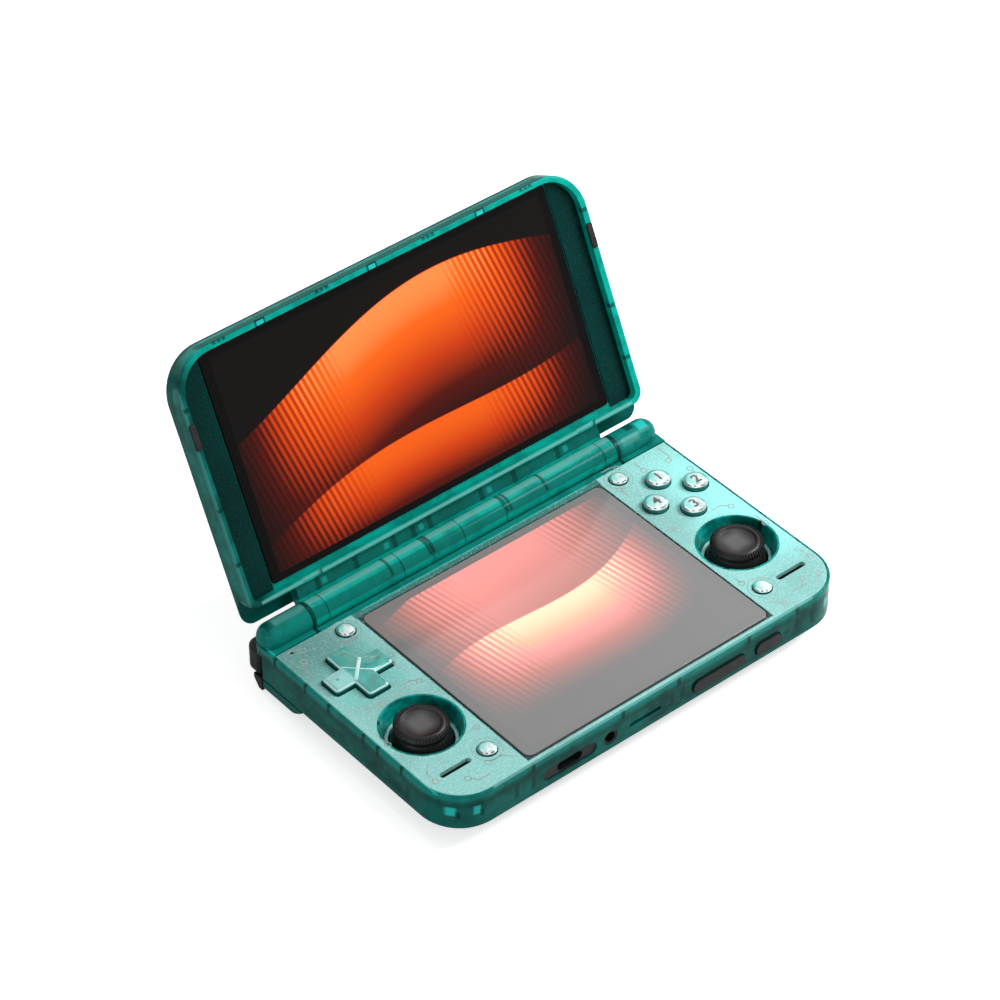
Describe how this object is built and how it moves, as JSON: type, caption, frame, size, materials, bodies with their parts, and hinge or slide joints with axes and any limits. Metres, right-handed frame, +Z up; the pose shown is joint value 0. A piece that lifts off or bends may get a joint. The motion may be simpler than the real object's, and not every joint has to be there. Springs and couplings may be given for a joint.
{
  "type": "clamshell handheld game console",
  "caption": "Clamshell handheld game console in tinted clear plastic, lid open, with an upper and a lower screen, thumb sticks, a cross, face buttons, shoulder buttons and triggers.",
  "frame": {"origin": "middle of the base from side to side and from front edge to rear of the hinge barrel, on the plane that the feet and grips stand on", "axes": "+X to the player's right along the hinge, +Y from the player's edge to the hinge, +Z up from the table"},
  "size_m": [0.15, 0.1316, 0.0975],
  "materials": {
    "clear_shell": "glossy, tinted clear plastic",
    "deck_film": "fine-grained satin",
    "clear_button": "glossy, water clear over a tinted core",
    "cross_plastic": "glossy",
    "black_plastic": "satin",
    "stick_rubber": "matte, knurled edge",
    "screen_glass": "polished",
    "display": "lit panel",
    "dark_trim": "glossy",
    "light_guide": "clear",
    "board": "satin",
    "battery_foil": "satin",
    "steel": "satin",
    "aluminium": "satin",
    "copper": "satin",
    "membrane": "matte",
    "black_rubber": "matte",
    "ribbon": "satin"
  },
  "bodies": {
    "base": {"base_frame": "clear_shell", "deck_plate": "deck_film", "bottom_cover": "clear_shell", "lower_glass": "screen_glass", "lower_display": "display", "screen_tray": "aluminium", "main_board": "board", "battery": "battery_foil", "fan_housing": "black_plastic", "heat_spreader": "copper", "speaker_left": "black_plastic", "speaker_right": "black_plastic", "usb_port": "black_plastic", "headphone_jack": "black_plastic", "card_reader": "steel", "cross_membrane": "membrane", "face_membrane": "membrane", "stick_module_left": "aluminium", "stick_module_right": "aluminium", "stick_well_left": "clear_shell", "stick_well_right": "clear_shell", "light_ring_left": "light_guide", "light_ring_right": "light_guide", "shoulder_pins": "steel", "hinge_pin_left": "steel", "hinge_pin_right": "steel", "rubber_feet": "black_rubber", "base_screws": "steel"},
    "lid": {"lid_frame": "clear_shell", "lid_back_cover": "clear_shell", "upper_glass": "screen_glass", "upper_display": "display", "lid_side_trims": "dark_trim", "lid_bumpers": "black_rubber", "lid_magnets": "steel", "lid_flex": "ribbon"},
    "fan_rotor": {"fan_rotor": "black_plastic"},
    "cross_pivot": {"cross_pivot": "steel"},
    "cross_button": {"cross_button": "cross_plastic"},
    "face_button_rear": {"face_button_rear": "clear_button"},
    "face_button_right": {"face_button_right": "clear_button"},
    "face_button_left": {"face_button_left": "clear_button"},
    "face_button_front": {"face_button_front": "clear_button"},
    "small_button_rear_left": {"small_button_rear_left": "clear_button"},
    "small_button_rear_right": {"small_button_rear_right": "clear_button"},
    "small_button_front_left": {"small_button_front_left": "clear_button"},
    "small_button_front_right": {"small_button_front_right": "clear_button"},
    "stick_cradle_left": {"stick_cradle_left": "black_plastic"},
    "stick_yoke_left": {"stick_yoke_left": "aluminium"},
    "stick_cap_left": {"stick_cap_left": "stick_rubber"},
    "shoulder_left": {"shoulder_left": "black_plastic"},
    "trigger_left": {"trigger_left": "black_plastic"},
    "stick_cradle_right": {"stick_cradle_right": "black_plastic"},
    "stick_yoke_right": {"stick_yoke_right": "aluminium"},
    "stick_cap_right": {"stick_cap_right": "stick_rubber"},
    "shoulder_right": {"shoulder_right": "black_plastic"},
    "trigger_right": {"trigger_right": "black_plastic"},
    "volume_rocker": {"volume_rocker": "black_plastic"},
    "power_button": {"power_button": "black_plastic"}
  },
  "joints": [
    {"name": "lid_hinge", "type": "hinge", "parent": "base", "child": "lid", "pos_m": [0, 0.0412, 0.0194], "axis": [1, 0, 0], "range_deg": [-34.1, 115.9]},
    {"name": "fan_spin", "type": "hinge", "parent": "base", "child": "fan_rotor", "pos_m": [0, 0.0172, 0.009], "axis": [0, 0, 1], "continuous": true},
    {"name": "cross_rock_front", "type": "hinge", "parent": "base", "child": "cross_pivot", "pos_m": [-0.061, 0.0142, 0.0142], "axis": [1, 0, 0], "range_deg": [-3.5, 3.5], "stiffness_Nm_per_rad": 0.02},
    {"name": "cross_rock_side", "type": "hinge", "parent": "cross_pivot", "child": "cross_button", "pos_m": [-0.061, 0.0142, 0.0142], "axis": [0, 1, 0], "range_deg": [-3.5, 3.5], "stiffness_Nm_per_rad": 0.02},
    {"name": "face_button_rear_press", "type": "slide", "parent": "base", "child": "face_button_rear", "axis": [0, 0, -1], "range_m": [0, 0.0008], "stiffness_N_per_m": 300},
    {"name": "face_button_right_press", "type": "slide", "parent": "base", "child": "face_button_right", "axis": [0, 0, -1], "range_m": [0, 0.0008], "stiffness_N_per_m": 300},
    {"name": "face_button_left_press", "type": "slide", "parent": "base", "child": "face_button_left", "axis": [0, 0, -1], "range_m": [0, 0.0008], "stiffness_N_per_m": 300},
    {"name": "face_button_front_press", "type": "slide", "parent": "base", "child": "face_button_front", "axis": [0, 0, -1], "range_m": [0, 0.0008], "stiffness_N_per_m": 300},
    {"name": "small_button_rear_left_press", "type": "slide", "parent": "base", "child": "small_button_rear_left", "axis": [0, 0, -1], "range_m": [0, 0.0008], "stiffness_N_per_m": 300},
    {"name": "small_button_rear_right_press", "type": "slide", "parent": "base", "child": "small_button_rear_right", "axis": [0, 0, -1], "range_m": [0, 0.0008], "stiffness_N_per_m": 300},
    {"name": "small_button_front_left_press", "type": "slide", "parent": "base", "child": "small_button_front_left", "axis": [0, 0, -1], "range_m": [0, 0.0008], "stiffness_N_per_m": 300},
    {"name": "small_button_front_right_press", "type": "slide", "parent": "base", "child": "small_button_front_right", "axis": [0, 0, -1], "range_m": [0, 0.0008], "stiffness_N_per_m": 300},
    {"name": "stick_click_left", "type": "slide", "parent": "base", "child": "stick_cradle_left", "axis": [0, 0, -1], "range_m": [0, 0.0004], "stiffness_N_per_m": 1200},
    {"name": "stick_tilt_side_left", "type": "hinge", "parent": "stick_cradle_left", "child": "stick_yoke_left", "pos_m": [-0.0598, -0.0135, 0.0101], "axis": [0, 1, 0], "range_deg": [-12, 12], "stiffness_Nm_per_rad": 0.04},
    {"name": "stick_tilt_front_left", "type": "hinge", "parent": "stick_yoke_left", "child": "stick_cap_left", "pos_m": [-0.0598, -0.0135, 0.0101], "axis": [1, 0, 0], "range_deg": [-12, 12], "stiffness_Nm_per_rad": 0.04},
    {"name": "shoulder_press_left", "type": "hinge", "parent": "base", "child": "shoulder_left", "pos_m": [-0.047, 0.0446, 0.0099], "axis": [0, 0, 1], "range_deg": [0, 3], "stiffness_Nm_per_rad": 0.3},
    {"name": "trigger_press_left", "type": "hinge", "parent": "base", "child": "trigger_left", "pos_m": [-0.0595, 0.0427, 0.0034], "axis": [1, 0, 0], "range_deg": [-12, 0], "stiffness_Nm_per_rad": 0.03},
    {"name": "stick_click_right", "type": "slide", "parent": "base", "child": "stick_cradle_right", "axis": [0, 0, -1], "range_m": [0, 0.0004], "stiffness_N_per_m": 1200},
    {"name": "stick_tilt_side_right", "type": "hinge", "parent": "stick_cradle_right", "child": "stick_yoke_right", "pos_m": [0.0598, -0.0135, 0.0101], "axis": [0, 1, 0], "range_deg": [-12, 12], "stiffness_Nm_per_rad": 0.04},
    {"name": "stick_tilt_front_right", "type": "hinge", "parent": "stick_yoke_right", "child": "stick_cap_right", "pos_m": [0.0598, -0.0135, 0.0101], "axis": [1, 0, 0], "range_deg": [-12, 12], "stiffness_Nm_per_rad": 0.04},
    {"name": "shoulder_press_right", "type": "hinge", "parent": "base", "child": "shoulder_right", "pos_m": [0.047, 0.0446, 0.0099], "axis": [0, 0, 1], "range_deg": [-3, 0], "stiffness_Nm_per_rad": 0.3},
    {"name": "trigger_press_right", "type": "hinge", "parent": "base", "child": "trigger_right", "pos_m": [0.0595, 0.0427, 0.0034], "axis": [1, 0, 0], "range_deg": [-12, 0], "stiffness_Nm_per_rad": 0.03},
    {"name": "volume_rock", "type": "hinge", "parent": "base", "child": "volume_rocker", "pos_m": [0.0234, -0.0431, 0.0105], "axis": [0, 0, 1], "range_deg": [-2.5, 2.5], "stiffness_Nm_per_rad": 0.1},
    {"name": "power_press", "type": "slide", "parent": "base", "child": "power_button", "axis": [0, 1, 0], "range_m": [0, 0.0006], "stiffness_N_per_m": 300}
  ]
}
